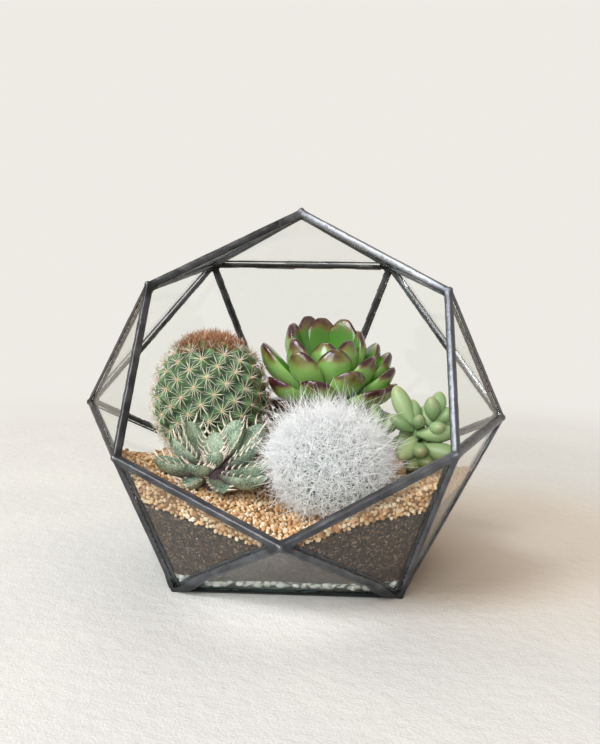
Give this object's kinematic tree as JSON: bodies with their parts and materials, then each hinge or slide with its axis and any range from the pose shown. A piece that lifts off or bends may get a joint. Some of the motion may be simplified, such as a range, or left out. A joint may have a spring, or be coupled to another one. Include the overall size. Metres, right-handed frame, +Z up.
{
  "type": "glass plant terrarium",
  "caption": "Faceted glass terrarium, open at the front, with dark soldered seams, lying on one side and planted with globe cacti and succulents in layered soil and gravel.",
  "frame": {"origin": "middle of the object's box, on the surface that it stands on", "axes": "+Z up, the open mouth faces -Y and upwards, the closed point of the cone is at +Y, +X is to the right as seen from the mouth"},
  "size_m": [0.2092, 0.2003, 0.1751],
  "materials": {
    "patina_solder": "black patina on solder, satin, with paler rubbed ridges",
    "clear_glass": "clear, polished, thin",
    "drainage_stone": "white crushed stone, stands in for mineral",
    "dark_soil": "dark potting soil with small specks",
    "tan_gravel": "tan and ochre grit, rough",
    "spiny_cactus": "green skin with cream spines and a rust crown",
    "woolly_cactus": "white hair over grey-green skin",
    "rosette_leaf": "waxy green leaf with maroon tips",
    "toothed_leaf": "grey-green leaf with pale dots and teeth",
    "bead_leaf": "smooth pale green leaf with a light bloom"
  },
  "bodies": {
    "root": {"mouth_seam_1": "patina_solder", "mouth_seam_2": "patina_solder", "mouth_seam_3": "patina_solder", "mouth_seam_4": "patina_solder", "mouth_seam_5": "patina_solder", "mouth_seam_6": "patina_solder", "band_seam_1": "patina_solder", "band_seam_2": "patina_solder", "band_seam_3": "patina_solder", "band_seam_4": "patina_solder", "band_seam_5": "patina_solder", "band_seam_6": "patina_solder", "band_seam_7": "patina_solder", "band_seam_8": "patina_solder", "band_seam_9": "patina_solder", "band_seam_10": "patina_solder", "band_seam_11": "patina_solder", "band_seam_12": "patina_solder", "belt_seam_1": "patina_solder", "belt_seam_2": "patina_solder", "belt_seam_3": "patina_solder", "belt_seam_4": "patina_solder", "belt_seam_5": "patina_solder", "belt_seam_6": "patina_solder", "cone_seam_1": "patina_solder", "cone_seam_2": "patina_solder", "cone_seam_3": "patina_solder", "cone_seam_4": "patina_solder", "cone_seam_5": "patina_solder", "cone_seam_6": "patina_solder", "mouth_pane_1": "clear_glass", "mouth_pane_2": "clear_glass", "mouth_pane_3": "clear_glass", "mouth_pane_4": "clear_glass", "mouth_pane_5": "clear_glass", "mouth_pane_6": "clear_glass", "belt_pane_1": "clear_glass", "belt_pane_2": "clear_glass", "belt_pane_3": "clear_glass", "belt_pane_4": "clear_glass", "belt_pane_5": "clear_glass", "belt_pane_6": "clear_glass", "cone_pane_1": "clear_glass", "cone_pane_2": "clear_glass", "cone_pane_3": "clear_glass", "cone_pane_4": "clear_glass", "cone_pane_5": "clear_glass", "base_pane": "clear_glass", "drainage_stones": "drainage_stone", "soil": "dark_soil", "gravel": "tan_gravel", "spiny_cactus": "spiny_cactus", "woolly_cactus": "woolly_cactus", "rosette_succulent": "rosette_leaf", "toothed_succulent": "toothed_leaf", "bead_succulent": "bead_leaf"}
  },
  "joints": []
}
